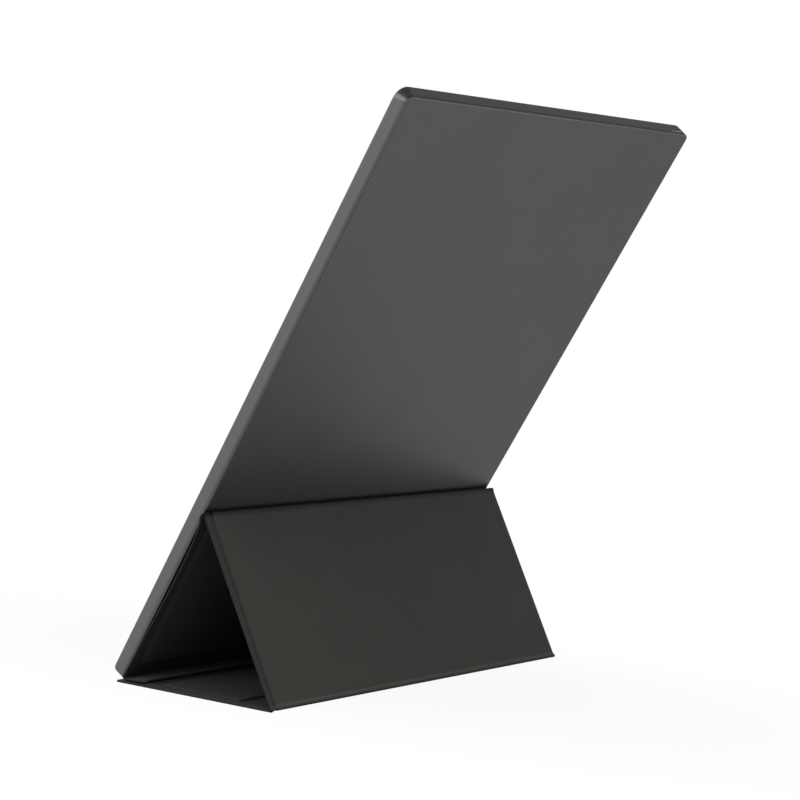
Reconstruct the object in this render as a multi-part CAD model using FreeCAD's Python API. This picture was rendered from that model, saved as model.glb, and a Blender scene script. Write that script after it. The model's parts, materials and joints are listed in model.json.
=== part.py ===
# A portable monitor standing upright on the tent that its own cover folds into.
# Millimetres, +Z up, +Y behind the screen. The origin is the middle of the floor panel's underside.
# Each panel, and the monitor, is modelled flat in its own X-Y plane and then turned about X into its place.

import FreeCAD, Part
import math
import os

Vector = FreeCAD.Vector

# Monitor housing
monitor_width = 226.4
monitor_length = 359.7
monitor_thickness = 8.0
monitor_corner = 6.5
monitor_lean = 34.84
bezel_thickness = 1.0
bezel_chamfer = 0.35
window_chamfer = 0.6
frame_wall = 2.4
plate_thickness = 1.2
back_draw = 1.36
back_corner = 3.0
back_depth = 1.8
back_round = 0.9
lip_inset = 1.9
lip_height = 0.5
piece_gap = 0.1

# Screen and backlight, from the front inwards
screen_side_border = 8.0
screen_wide_border = 24.8
screen_end_border = 7.75
glass_thickness = 1.0
glass_border = 2.0
glass_ledge = 4.0
gasket_thickness = 0.3
films_thickness = 0.5
guide_thickness = 0.8
tray_sheet = 0.4
led_bar_width = 1.8
led_bar_gap = 0.2

# Back cover's ribs and bosses, and the tray's screws
rib_width = 2.0
rib_end_margin = 20.0
rib_place_shares = (-0.55, 0.0, 0.55)
ear_length = 6.0
ear_reach = 3.0
boss_diameter = 2.8
screw_diameter = 1.4
screw_depth = 2.2
screw_head_diameter = 2.4
screw_head_height = 0.5
screw_clearance = 0.1
screw_place_shares = (0.08, 0.45, 0.80)

# Boards in the wide border
main_board_width = 50.0
main_board_length = 52.0
board_thickness = 0.8
main_board_height = 1.4
board_edge_gap = 0.4
post_diameter = 4.0
chip_height = 0.5
chip_length = 14.0
chip_width = 12.0
coil_height = 2.6
coil_size = 5.0
coil_corner = 1.0
connector_height = 1.8
connector_length = 18.0
connector_width = 4.0
driver_board_width = 6.0
driver_board_start = 40.0
driver_board_end_gap = 4.9
driver_board_gap = 2.8
driver_board_height = 2.0
flex_thickness = 0.2
flex_width = 30.0
flex_grip = 1.0
flex_drop = 4.1
flex_foot = 2.4
flex_place_shares = (0.16, 0.38, 0.60, 0.82)

# Socket for the signal and power lead, a standard size
socket_width = 8.94
socket_height = 3.26
socket_wall = 0.3
socket_length = 7.4
socket_from_side = 10.6
socket_from_back = 3.65
socket_recess = 0.85
socket_clearance = 0.15
socket_base = 1.6
tongue_width = 6.7
tongue_thickness = 0.7
tongue_length = 4.5

# Buttons and status light in the wide border
button_length = 14.0
button_width = 3.6
button_proud = 0.25
button_round = 0.2
button_clearance = 0.25
button_flange = 0.8
button_flange_thickness = 0.7
button_flange_gap = 0.05
button_nub_diameter = 2.0
button_nub_length = 0.2
button_from_side = 7.2
power_button_place = 40.0
menu_button_place = 64.0
key_board_width = 8.2
key_board_length = 58.0
key_board_start = 24.0
key_board_height = 2.8
switch_size = 4.5
switch_height = 0.7
light_diameter = 1.6
light_place = 28.0
light_clearance = 0.1

# Steel plate that the cover's magnets hold
keeper_plate_side_margin = 28.2
keeper_plate_length = 90.0
keeper_plate_thickness = 0.5
keeper_plate_start = 18.0
keeper_hole_diameter = 12.0
keeper_hole_place_shares = (-0.3, 0.0, 0.3)

# Cover panels, from the outer face inwards
cover_overhang = 1.3
floor_length = 119.0
rear_slope = 63.16
skin_thickness = 0.6
stiffener_thickness = 1.4
lining_thickness = 0.5
panel_margin = 4.1
front_margin = 8.7
stiffener_corner = 3.0
cover_corner = 2.0
lining_round = 0.45
press_line_width = 1.3
press_line_depth = 0.25

# Folds: the strips that join the panels, and how far the panels stay from each fold line
fold_reach = 5.2
fold_gap = 0.4
fold_bend = 1.4
stiffener_setback = 6.4
foot_setback = 12.0

# Floor panel's raised plate and the steel sheet under the flap
plateau_start = 33.0
plateau_end = 92.0
floor_keeper_start = 7.0
floor_keeper_end = 24.0
floor_keeper_thickness = 0.5

# Foot flap
flap_length = 19.6
flap_side_inset = 0.8
flap_corner = 6.0
flap_stiffener_thickness = 0.8
flap_margin = 2.4
flap_setback = 8.5
flap_end_margin = 3.0
flap_magnet_length = 14.0
flap_magnet_width = 5.0
flap_magnet_place_shares = (-0.36, -0.12, 0.12, 0.36)

# Magnets in the front panel
front_magnet_length = 18.0
front_magnet_width = 6.0
front_magnet_place_shares = (-0.38, -0.13, 0.13, 0.38)
front_magnet_row_shares = (0.25, 0.75)

# How the monitor stands on the cover
monitor_overhang = 1.6
edge_clearance = 0.1
cover_gap = 0.5
flap_clearance = 0.3

overrun = 1.0
touch = 0.001


# Places worked out from the sizes above

cover_width = monitor_width + 2 * cover_overhang
half_cover = cover_width / 2
margin_thickness = skin_thickness + lining_thickness
keeper_zone_thickness = margin_thickness + floor_keeper_thickness

lean_sin = math.sin(math.radians(monitor_lean))
lean_cos = math.cos(math.radians(monitor_lean))
rear_sin = math.sin(math.radians(rear_slope))
rear_cos = math.cos(math.radians(rear_slope))

floor_front_y = -floor_length / 2
rear_fold_y = floor_length / 2

# Depths at the front of the monitor, measured from its back face
front_z = monitor_thickness
bezel_back = front_z - bezel_thickness

# The monitor's lower end: its round back edge stands just above the floor panel's front margin
draw_angle = math.atan2(back_draw, bezel_back)
round_middle = back_draw + back_round * (1 - math.sin(draw_angle)) / math.cos(draw_angle)
lowest = round_middle * lean_cos + back_round * lean_sin - back_round
stand_y = floor_front_y + monitor_overhang
stand_z = margin_thickness + edge_clearance - lowest

# The front panel's outer plane lies one gap behind the monitor's back
front_plane = stand_y * lean_cos - stand_z * lean_sin + cover_gap
rear_length = (rear_fold_y * lean_cos - front_plane) / (rear_cos * lean_cos + rear_sin * lean_sin)
ridge_y = rear_fold_y - rear_length * rear_cos
ridge_z = rear_length * rear_sin
foot_z = keeper_zone_thickness + flap_clearance
foot_y = (front_plane + foot_z * lean_sin) / lean_cos
front_length = (ridge_z - foot_z) / lean_cos

# How each flat-modelled piece turns about X into its place
quarter_turn = 90
monitor_turn = quarter_turn - monitor_lean
rear_turn = 2 * quarter_turn - rear_slope
front_turn = 3 * quarter_turn - monitor_lean

# Depths inside the monitor, measured from its back face
gasket_back = bezel_back - gasket_thickness
glass_back = gasket_back - glass_thickness
films_back = glass_back - films_thickness
guide_back = films_back - guide_thickness
tray_back = guide_back - tray_sheet

half_width = monitor_width / 2
keeper_plate_width = monitor_width - 2 * keeper_plate_side_margin
screen_right = half_width - screen_side_border
screen_left = screen_wide_border - half_width
screen_low = screen_end_border
screen_high = monitor_length - screen_end_border

tray_left = screen_left - glass_border - tray_sheet
tray_right = screen_right + glass_border
tray_low = screen_low - glass_border
tray_high = screen_high + glass_border

main_board_left = frame_wall + board_edge_gap - half_width
main_board_low = monitor_length - frame_wall - board_edge_gap - main_board_length
driver_board_right = tray_left - driver_board_gap - flex_thickness
driver_board_end = main_board_low - driver_board_end_gap

socket_x = socket_from_side - half_width
button_x = button_from_side - half_width


def outline(x0, x1, y0, y1, radius, z):
    """Closed wire round a rectangle, with its corners rounded."""
    corners = (
        (x1 - radius, y1 - radius, 0),
        (x0 + radius, y1 - radius, 1),
        (x0 + radius, y0 + radius, 2),
        (x1 - radius, y0 + radius, 3),
    )
    if radius == 0:
        points = [Vector(x, y, z) for x, y, quarter in corners]
        return Part.makePolygon(points + points[:1])
    arcs = []
    for x, y, quarter in corners:
        start = quarter * quarter_turn
        circle = Part.Circle(Vector(x, y, z), Vector(0, 0, 1), radius)
        arcs.append(Part.ArcOfCircle(circle, math.radians(start), math.radians(start + quarter_turn)))
    edges = []
    for arc, following in zip(arcs, arcs[1:] + arcs[:1]):
        edges.append(arc.toShape())
        if arc.EndPoint.distanceToPoint(following.StartPoint) > touch:
            edges.append(Part.LineSegment(arc.EndPoint, following.StartPoint).toShape())
    return Part.Wire(edges)


def slab(x0, x1, y0, y1, z0, z1, radius=0):
    """Flat plate with rounded corners."""
    return Part.Face(outline(x0, x1, y0, y1, radius, z0)).extrude(Vector(0, 0, z1 - z0))


def rod(x, y, z0, z1, diameter):
    """Round rod along the depth."""
    return Part.makeCylinder(diameter / 2, z1 - z0, Vector(x, y, z0))


def level_edges(shape, z):
    """Edges that lie wholly at one depth."""
    return [edge for edge in shape.Edges
            if abs(edge.BoundBox.ZMin - z) < touch and abs(edge.BoundBox.ZMax - z) < touch]


def rounded(shape, z, radius):
    return shape.makeFillet(radius, level_edges(shape, z))


def chamfered(shape, z, size):
    return shape.makeChamfer(size, level_edges(shape, z))


def fused(shapes):
    return shapes[0].multiFuse(shapes[1:]).removeSplitter()


def turned(shape, turn, y, z):
    """A piece modelled flat, turned about X and moved to its place."""
    placed = shape.copy()
    placed.Placement = FreeCAD.Placement(Vector(0, y, z), FreeCAD.Rotation(Vector(1, 0, 0), turn))
    return placed


# Cover

def panel_skin(half, start, end, margin, board_start, board_end, radius=0):
    """Outer skin with the line that is pressed round its stiffener."""
    sheet = slab(-half, half, start, end, 0, skin_thickness, radius)
    side = half - margin
    line = slab(-side - press_line_width, side + press_line_width, board_start - press_line_width,
                board_end + press_line_width, 0, press_line_depth, stiffener_corner + press_line_width)
    inside = slab(-side, side, board_start, board_end, 0, press_line_depth, stiffener_corner)
    return sheet.cut(line.cut(inside))


def stiffener(half, start, end, thickness, radius=stiffener_corner):
    """Board between the skin and the lining."""
    return slab(-half, half, start, end, skin_thickness, skin_thickness + thickness, radius)


def lining_bump(half, start, end, thickness):
    """Lining drawn up over a stiffener, with a soft upper edge."""
    top = margin_thickness + thickness
    block = slab(-half - lining_thickness, half + lining_thickness, start - lining_thickness,
                 end + lining_thickness, skin_thickness, top, stiffener_corner + lining_thickness)
    return rounded(block, top, lining_round)


def panel_lining(half, start, end, covered, radius=0):
    """Lining sheet, raised over each covered stiffener."""
    sheet = slab(-half, half, start, end, skin_thickness, margin_thickness, radius)
    bumps = [lining_bump(*place) for place in covered]
    solid = fused([sheet] + bumps)
    for side, low, high, thickness in covered:
        solid = solid.cut(stiffener(side, low, high, thickness))
    return solid


def free_front_sheet(sheet):
    """The floor panel's front corners are rounded, and its back corners square."""
    return sheet.makeFillet(cover_corner, [
        edge for edge in sheet.Edges
        if abs(edge.BoundBox.YMax) < touch and edge.BoundBox.XLength < touch])


def floor_pieces():
    side = half_cover - panel_margin
    end = floor_length - fold_reach
    skin = free_front_sheet(panel_skin(half_cover, 0, end, panel_margin, plateau_start, plateau_end))
    plate = (side, plateau_start, plateau_end, stiffener_thickness)
    keeper = (side, floor_keeper_start, floor_keeper_end, floor_keeper_thickness)
    lining = free_front_sheet(panel_lining(half_cover, 0, end, (plate, keeper)))
    return {"floor_skin": skin, "floor_board": stiffener(*plate), "floor_keeper": stiffener(*keeper),
            "floor_lining": lining}


def rear_pieces():
    side = half_cover - panel_margin
    start = fold_reach
    end = rear_length - fold_reach
    low = stiffener_setback
    high = rear_length - stiffener_setback
    board = (side, low, high, stiffener_thickness)
    return {"rear_skin": panel_skin(half_cover, start, end, panel_margin, low, high),
            "rear_board": stiffener(*board),
            "rear_lining": panel_lining(half_cover, start, end, (board,))}


def front_magnet_set(low, high):
    magnets = []
    for row in front_magnet_row_shares:
        for share in front_magnet_place_shares:
            x = cover_width * share
            y = low + (high - low) * row
            magnets.append(slab(x - front_magnet_length / 2, x + front_magnet_length / 2,
                                y - front_magnet_width / 2, y + front_magnet_width / 2,
                                skin_thickness, skin_thickness + stiffener_thickness))
    return Part.makeCompound(magnets)


def front_pieces():
    side = half_cover - front_margin
    start = fold_reach
    end = front_length - fold_reach
    low = stiffener_setback
    high = front_length - foot_setback
    board = (side, low, high, stiffener_thickness)
    magnets = front_magnet_set(low, high)
    return {"front_skin": panel_skin(half_cover, start, end, front_margin, low, high),
            "front_board": stiffener(*board).cut(magnets),
            "front_lining": panel_lining(half_cover, start, end, (board,)),
            "front_magnets": magnets}


def flap_outline_cut(shape, half):
    """Round the two corners at the flap's free end."""
    return shape.makeFillet(flap_corner, [
        edge for edge in shape.Edges
        if abs(edge.BoundBox.YMin - flap_length) < touch and edge.BoundBox.XLength < touch
        and abs(abs(edge.CenterOfMass.x) - half) < touch])


def flap_pieces():
    half = half_cover - flap_side_inset
    side = half - flap_margin
    low = flap_setback
    high = flap_length - flap_end_margin
    board = (side, low, high, flap_stiffener_thickness)
    magnets = []
    for share in flap_magnet_place_shares:
        x = cover_width * share
        y = (low + high) / 2
        magnets.append(slab(x - flap_magnet_length / 2, x + flap_magnet_length / 2,
                            y - flap_magnet_width / 2, y + flap_magnet_width / 2,
                            skin_thickness, skin_thickness + flap_stiffener_thickness))
    magnets = Part.makeCompound(magnets)
    skin = slab(-half, half, fold_reach, flap_length, 0, skin_thickness)
    lining = panel_lining(half, fold_reach, flap_length, (board,))
    return {"flap_skin": flap_outline_cut(skin, half),
            "flap_board": stiffener(*board).cut(magnets),
            "flap_lining": flap_outline_cut(lining, half),
            "flap_magnets": magnets}


def fold_strip(half, y, z, turn_in, turn_out, reach_in, reach_out):
    """Bent strip round a fold line: flat legs along both panels' outer faces, and a round bend between."""
    along_in = Vector(0, math.cos(math.radians(turn_in)), math.sin(math.radians(turn_in)))
    along_out = Vector(0, math.cos(math.radians(turn_out)), math.sin(math.radians(turn_out)))
    inward_in = Vector(1, 0, 0).cross(along_in)
    inward_out = Vector(1, 0, 0).cross(along_out)
    line = Vector(-half, y, z)
    middle = line + (inward_in + inward_out) * (fold_bend / (1 + inward_in.dot(inward_out)))
    bisector = (line - middle).normalize()
    inner_bend = fold_bend - margin_thickness
    outer = [line - along_in * reach_in, middle - inward_in * fold_bend, middle + bisector * fold_bend,
             middle - inward_out * fold_bend, line + along_out * reach_out]
    inner = [outer[4] + inward_out * margin_thickness, middle - inward_out * inner_bend,
             middle + bisector * inner_bend, middle - inward_in * inner_bend,
             outer[0] + inward_in * margin_thickness]
    edges = []
    for first, bend_start, bend_middle, bend_end, last in (outer, inner):
        edges.append(Part.LineSegment(first, bend_start).toShape())
        edges.append(Part.Arc(bend_start, bend_middle, bend_end).toShape())
        edges.append(Part.LineSegment(bend_end, last).toShape())
    edges.insert(3, Part.LineSegment(outer[4], inner[0]).toShape())
    edges.append(Part.LineSegment(inner[4], outer[0]).toShape())
    return Part.Face(Part.Wire(edges)).extrude(Vector(2 * half, 0, 0))


def fold_strips():
    """Each strip is joined to one panel and stops short of the panel that turns away from it."""
    loose = fold_reach - fold_gap
    flap_half = half_cover - flap_side_inset
    return {
        "ridge_strip": fold_strip(half_cover, ridge_y, ridge_z, rear_turn, front_turn, loose, fold_reach),
        "rear_strip": fold_strip(half_cover, rear_fold_y, 0, 0, rear_turn, loose, fold_reach),
        "foot_strip": fold_strip(flap_half, foot_y, foot_z, front_turn, 0, fold_reach, loose),
    }


# Monitor housing

def housing_outline(inset, corner, z):
    """The monitor's outline, drawn in all round."""
    return outline(inset - half_width, half_width - inset, inset, monitor_length - inset, corner, z)


def housing_slab(inset, z0, z1):
    """Plate with the monitor's outline, drawn in all round."""
    return Part.Face(housing_outline(inset, monitor_corner - inset, z0)).extrude(Vector(0, 0, z1 - z0))


def drawn_housing(z0, z1):
    """Plate with the slope of the monitor's walls: smaller and with tighter corners towards the back."""
    ends = []
    for z in (z0, z1):
        share = z / bezel_back
        corner = back_corner + (monitor_corner - back_corner) * share
        ends.append(housing_outline(back_draw * (1 - share), corner, z))
    return Part.makeLoft(ends, True, True)


def socket_slab(grow, y0, y1):
    """Round-ended bar along the monitor's length, with the socket's section."""
    width = socket_width + 2 * grow
    height = socket_height + 2 * grow
    bar = slab(-width / 2, width / 2, -height / 2, height / 2, 0, y1 - y0, height / 2)
    bar.Placement = FreeCAD.Placement(Vector(socket_x, y1, socket_from_back),
                                      FreeCAD.Rotation(Vector(1, 0, 0), quarter_turn))
    return bar


def mid_frame():
    """Sloping side walls, with a lip inside the back cover's rim and a slot for the socket."""
    walls = drawn_housing(back_depth, bezel_back)
    lip = housing_slab(lip_inset, back_depth - lip_height, back_depth)
    body = fused([walls, lip]).cut(housing_slab(frame_wall, 0, front_z))
    return body.cut(socket_slab(socket_clearance, monitor_length - frame_wall - overrun,
                                monitor_length + overrun))


def screw_places():
    """Centres of the tray's screws, in a row along each long side."""
    rows = (tray_left - ear_reach / 2, tray_right + tray_sheet + ear_reach / 2)
    return [(x, monitor_length * share) for x in rows for share in screw_place_shares]


def post_places():
    """Centres of the posts that carry the main board."""
    left = main_board_left + post_diameter / 2
    right = left + main_board_width - post_diameter
    low = main_board_low + post_diameter / 2
    high = low + main_board_length - post_diameter - socket_length
    return [(x, y) for x in (left, right) for y in (low, high)]


def back_cover():
    """Back plate with a round edge turned up into a rim, and the ribs, bosses and posts on its inside."""
    plate = rounded(drawn_housing(0, back_depth), 0, back_round)
    plate = plate.cut(housing_slab(lip_inset - piece_gap, plate_thickness, back_depth))
    pieces = [plate]
    floor = plate_thickness
    rib_low = keeper_plate_start + keeper_plate_length + rib_end_margin
    rib_high = main_board_low - rib_end_margin
    for share in rib_place_shares:
        x = half_width * share
        pieces.append(slab(x - rib_width / 2, x + rib_width / 2, rib_low, rib_high, floor, tray_back))
    for x, y in screw_places():
        pieces.append(rod(x, y, floor, tray_back, boss_diameter))
    for x, y in post_places():
        pieces.append(rod(x, y, floor, floor + main_board_height, post_diameter))
    rib_x = driver_board_right - driver_board_width / 2
    pieces.append(slab(rib_x - rib_width / 2, rib_x + rib_width / 2, driver_board_start,
                       driver_board_end, floor, floor + driver_board_height))
    pieces.append(slab(button_x - rib_width / 2, button_x + rib_width / 2, key_board_start,
                       key_board_start + key_board_length, floor, floor + key_board_height))
    cover = fused(pieces)
    for x, y in screw_places():
        hole = screw_diameter + screw_clearance
        cover = cover.cut(rod(x, y, tray_back - screw_depth - screw_clearance, tray_back, hole))
    return cover


def button_places():
    return {"power_button": power_button_place, "menu_button": menu_button_place}


def button_pill(y, grow, z0, z1):
    """Round-ended bar with a button's outline, drawn out all round."""
    across = button_width / 2 + grow
    along = button_length / 2 + grow
    return slab(button_x - across, button_x + across, y - along, y + along, z0, z1, across)


def front_bezel():
    """Border round the screen, chamfered outside and down to the glass."""
    border = chamfered(housing_slab(0, bezel_back, front_z), front_z, bezel_chamfer)
    window = slab(screen_left, screen_right, screen_low, screen_high, bezel_back, front_z)
    slope = window_chamfer
    wide = outline(screen_left - slope, screen_right + slope, screen_low - slope, screen_high + slope, 0,
                   front_z)
    deep = outline(screen_left, screen_right, screen_low, screen_high, 0, front_z - slope)
    border = border.cut(window).cut(Part.makeLoft([deep, wide], True, True))
    for y in button_places().values():
        border = border.cut(button_pill(y, button_clearance, bezel_back, front_z))
    hole = light_diameter + 2 * light_clearance
    return border.cut(rod(button_x, light_place, bezel_back, front_z, hole))


def push_button(y):
    """Button with a rounded face, a flange that holds it in and a nub over its switch."""
    top = rounded(button_pill(y, 0, bezel_back - button_flange_gap, front_z + button_proud),
                  front_z + button_proud, button_round)
    flange_top = bezel_back - button_flange_gap
    flange_low = flange_top - button_flange_thickness
    flange = button_pill(y, button_flange, flange_low, flange_top)
    nub = rod(button_x, y, flange_low - button_nub_length, flange_low, button_nub_diameter)
    return fused([top, flange, nub])


# Screen and backlight

def lcd_panel():
    """Glass sandwich with the ledge that its flexes are bonded to."""
    return slab(tray_left + tray_sheet - glass_ledge + glass_border, tray_right, tray_low, tray_high,
                glass_back, gasket_back)


def panel_gasket():
    """Foam frame between the bezel and the glass."""
    frame = slab(tray_left + tray_sheet, tray_right, tray_low, tray_high, gasket_back, bezel_back)
    return frame.cut(slab(screen_left, screen_right, screen_low, screen_high, gasket_back, bezel_back))


def backlight_tray():
    """Sheet-metal pan round the films and the light guide, with an ear for each screw."""
    pan = slab(tray_left, tray_right + tray_sheet, tray_low - tray_sheet, tray_high + tray_sheet, tray_back,
               glass_back)
    pan = pan.cut(slab(tray_left + tray_sheet, tray_right, tray_low, tray_high, guide_back, glass_back))
    ears = [slab(x - ear_reach / 2, x + ear_reach / 2, y - ear_length / 2, y + ear_length / 2, tray_back,
                 guide_back) for x, y in screw_places()]
    pan = fused([pan] + ears)
    for x, y in screw_places():
        pan = pan.cut(rod(x, y, tray_back, guide_back, screw_diameter + 2 * screw_clearance))
    return pan


def tray_screws():
    """Pan-head screws through the tray's ears into the back cover's bosses."""
    screws = []
    for x, y in screw_places():
        head = rounded(rod(x, y, guide_back, guide_back + screw_head_height, screw_head_diameter),
                       guide_back + screw_head_height, screw_head_height / 2)
        shank = rod(x, y, tray_back - screw_depth, guide_back, screw_diameter)
        screws.append(fused([head, shank]))
    return Part.makeCompound(screws)


def led_bar():
    left = tray_left + tray_sheet
    return slab(left, left + led_bar_width, tray_low, tray_high, guide_back, films_back)


def light_guide():
    left = tray_left + tray_sheet + led_bar_width + led_bar_gap
    return slab(left, tray_right, tray_low, tray_high, guide_back, films_back)


def optical_films():
    return slab(tray_left + tray_sheet, tray_right, tray_low, tray_high, films_back, glass_back)


# Electronics

def driver_board():
    low = plate_thickness + driver_board_height
    return slab(driver_board_right - driver_board_width, driver_board_right, driver_board_start,
                driver_board_end, low, low + board_thickness)


def panel_flexes():
    """Ribbons from the glass ledge down on to the driver board."""
    ledge = tray_left + tray_sheet - glass_ledge + glass_border
    grip = ledge + flex_grip
    drop = grip - flex_drop
    foot = drop - flex_foot
    board_top = plate_thickness + driver_board_height + board_thickness
    under = glass_back - flex_thickness
    points = [Vector(grip, 0, glass_back), Vector(drop, 0, glass_back),
              Vector(drop, 0, board_top + flex_thickness), Vector(foot, 0, board_top + flex_thickness),
              Vector(foot, 0, board_top), Vector(drop + flex_thickness, 0, board_top),
              Vector(drop + flex_thickness, 0, under), Vector(grip, 0, under)]
    profile = Part.Face(Part.makePolygon(points + points[:1]))
    ribbon = profile.extrude(Vector(0, flex_width, 0))
    ribbons = []
    for share in flex_place_shares:
        middle = driver_board_start + (driver_board_end - driver_board_start) * share
        ribbons.append(ribbon.translated(Vector(0, middle - flex_width / 2, 0)))
    return Part.makeCompound(ribbons)


def main_board():
    """Circuit board with a notch that the socket is set into."""
    base = plate_thickness + main_board_height
    board = slab(main_board_left, main_board_left + main_board_width, main_board_low,
                 main_board_low + main_board_length, base, base + board_thickness,
                 monitor_corner - frame_wall)
    grip = piece_gap
    notch_half = socket_width / 2 + grip
    notch = slab(socket_x - notch_half, socket_x + notch_half,
                 monitor_length - socket_recess - socket_length - grip, monitor_length, base,
                 base + board_thickness)
    return board.cut(notch)


def board_parts():
    """Display chip and memory under the tray, and a coil and the panel connector in the border."""
    left = main_board_left
    low = main_board_low
    top = plate_thickness + main_board_height + board_thickness
    chip_x = left + main_board_width - chip_width
    parts = []
    for row in range(2):
        y = low + chip_length / 2 + row * (chip_length + coil_size)
        parts.append(slab(chip_x - chip_width / 2, chip_x + chip_width / 2, y, y + chip_length, top,
                          top + chip_height))
    coil_x = left + coil_size
    for row in range(2):
        y = low + coil_size + row * 2 * coil_size
        parts.append(slab(coil_x - coil_size / 2, coil_x + coil_size / 2, y, y + coil_size, top,
                          top + coil_height, coil_corner))
    y = low + main_board_length - socket_length - connector_length - coil_size
    parts.append(slab(coil_x - connector_width / 2, coil_x + connector_width / 2, y, y + connector_length,
                      top, top + connector_height))
    return Part.makeCompound(parts)


def usb_c_shell():
    """Drawn steel shell, open at the monitor's side and closed at its inner end."""
    mouth = monitor_length - socket_recess
    shell = socket_slab(0, mouth - socket_length, mouth)
    return shell.cut(socket_slab(-socket_wall, mouth - socket_length + socket_wall, mouth + overrun))


def usb_c_tongue():
    """Moulded base that fills the shell's inner end, with the contact tongue standing on it."""
    inner_end = monitor_length - socket_recess - socket_length + socket_wall
    base = socket_slab(-socket_wall, inner_end, inner_end + socket_base)
    tongue = slab(socket_x - tongue_width / 2, socket_x + tongue_width / 2, inner_end,
                  inner_end + socket_base + tongue_length, socket_from_back - tongue_thickness / 2,
                  socket_from_back + tongue_thickness / 2)
    return fused([base, tongue])


def key_board():
    low = plate_thickness + key_board_height
    return slab(button_x - key_board_width / 2, button_x + key_board_width / 2, key_board_start,
                key_board_start + key_board_length, low, low + board_thickness)


def key_switches():
    base = plate_thickness + key_board_height + board_thickness
    half = switch_size / 2
    return Part.makeCompound([
        slab(button_x - half, button_x + half, y - half, y + half, base, base + switch_height)
        for y in button_places().values()])


def status_light():
    """Light pipe from the key board to the bezel's face."""
    base = plate_thickness + key_board_height + board_thickness
    return rod(button_x, light_place, base, front_z, light_diameter)


def keeper_plate():
    """Steel sheet glued inside the back plate, with holes that lighten it."""
    half = keeper_plate_width / 2
    sheet = slab(-half, half, keeper_plate_start, keeper_plate_start + keeper_plate_length, plate_thickness,
                 plate_thickness + keeper_plate_thickness, stiffener_corner)
    y = keeper_plate_start + keeper_plate_length / 2
    for share in keeper_hole_place_shares:
        sheet = sheet.cut(rod(keeper_plate_width * share, y, plate_thickness,
                              plate_thickness + keeper_plate_thickness, keeper_hole_diameter))
    return sheet


def monitor_pieces():
    makers = (back_cover, mid_frame, front_bezel, lcd_panel, panel_gasket, optical_films, light_guide,
              led_bar, backlight_tray, tray_screws, driver_board, panel_flexes, main_board, board_parts,
              usb_c_shell, usb_c_tongue, key_board, key_switches, status_light, keeper_plate)
    pieces = {maker.__name__: maker() for maker in makers}
    for name, place in button_places().items():
        pieces[name] = push_button(place)
    return pieces


def assembly():
    """Every piece at its place, by name."""
    groups = (
        (monitor_pieces(), monitor_turn, stand_y, stand_z),
        (floor_pieces(), 0, floor_front_y, 0),
        (rear_pieces(), rear_turn, rear_fold_y, 0),
        (front_pieces(), front_turn, ridge_y, ridge_z),
        (flap_pieces(), 0, foot_y, foot_z),
    )
    placed = fold_strips()
    for pieces, turn, y, z in groups:
        for name, shape in pieces.items():
            placed[name] = turned(shape, turn, y, z)
    return placed


os.makedirs("parts", exist_ok=True)
for node, shape in assembly().items():
    shape.exportStep("parts/" + node + ".step")
    print(node, "solids", len(shape.Solids), "volume", round(shape.Volume, 1), "valid", shape.isValid())
print("ridge", round(ridge_y, 4), round(ridge_z, 4), "foot", round(foot_y, 4), round(foot_z, 4))
print("rear length", round(rear_length, 3), "front length", round(front_length, 3))
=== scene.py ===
# A portable monitor standing upright on the tent that its own cover folds into.
# Metres, +Z up, +Y behind the screen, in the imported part's own frame.

import json
import math

import bmesh
import bpy
from mathutils import Matrix, Vector


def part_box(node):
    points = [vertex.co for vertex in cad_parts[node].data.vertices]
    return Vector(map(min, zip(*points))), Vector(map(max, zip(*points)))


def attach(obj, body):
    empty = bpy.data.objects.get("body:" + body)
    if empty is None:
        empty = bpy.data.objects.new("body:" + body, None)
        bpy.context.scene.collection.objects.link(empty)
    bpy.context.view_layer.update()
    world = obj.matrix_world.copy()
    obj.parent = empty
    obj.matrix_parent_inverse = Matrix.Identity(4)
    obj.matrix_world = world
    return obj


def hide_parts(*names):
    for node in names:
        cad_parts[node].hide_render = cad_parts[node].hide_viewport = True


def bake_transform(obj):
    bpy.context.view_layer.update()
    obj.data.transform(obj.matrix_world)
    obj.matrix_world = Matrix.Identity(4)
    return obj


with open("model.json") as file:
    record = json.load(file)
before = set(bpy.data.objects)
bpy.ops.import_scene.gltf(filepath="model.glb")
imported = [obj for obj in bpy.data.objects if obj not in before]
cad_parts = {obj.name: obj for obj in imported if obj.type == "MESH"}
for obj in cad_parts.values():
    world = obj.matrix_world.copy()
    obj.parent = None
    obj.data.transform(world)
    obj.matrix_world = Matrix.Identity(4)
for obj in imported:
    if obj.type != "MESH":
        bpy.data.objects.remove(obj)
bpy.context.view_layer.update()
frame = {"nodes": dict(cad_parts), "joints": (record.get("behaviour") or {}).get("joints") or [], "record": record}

mm = 0.001

# Cover's sheets, from the outer face inwards
skin_thickness = 0.6 * mm
lining_thickness = 0.5 * mm
board_thickness = 1.4 * mm
keeper_thickness = 0.5 * mm
flap_board_thickness = 0.8 * mm
margin_thickness = skin_thickness + lining_thickness

# Where the boards lie in the panels
panel_margin = 4.1 * mm
front_margin = 8.7 * mm
flap_margin = 2.4 * mm
board_setback = 6.4 * mm
foot_setback = 12.0 * mm
flap_setback = 8.5 * mm
flap_end_margin = 3.0 * mm
plateau_start = 33.0 * mm
plateau_end = 92.0 * mm
keeper_start = 7.0 * mm
keeper_end = 24.0 * mm
flap_length = 19.6 * mm

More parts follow.
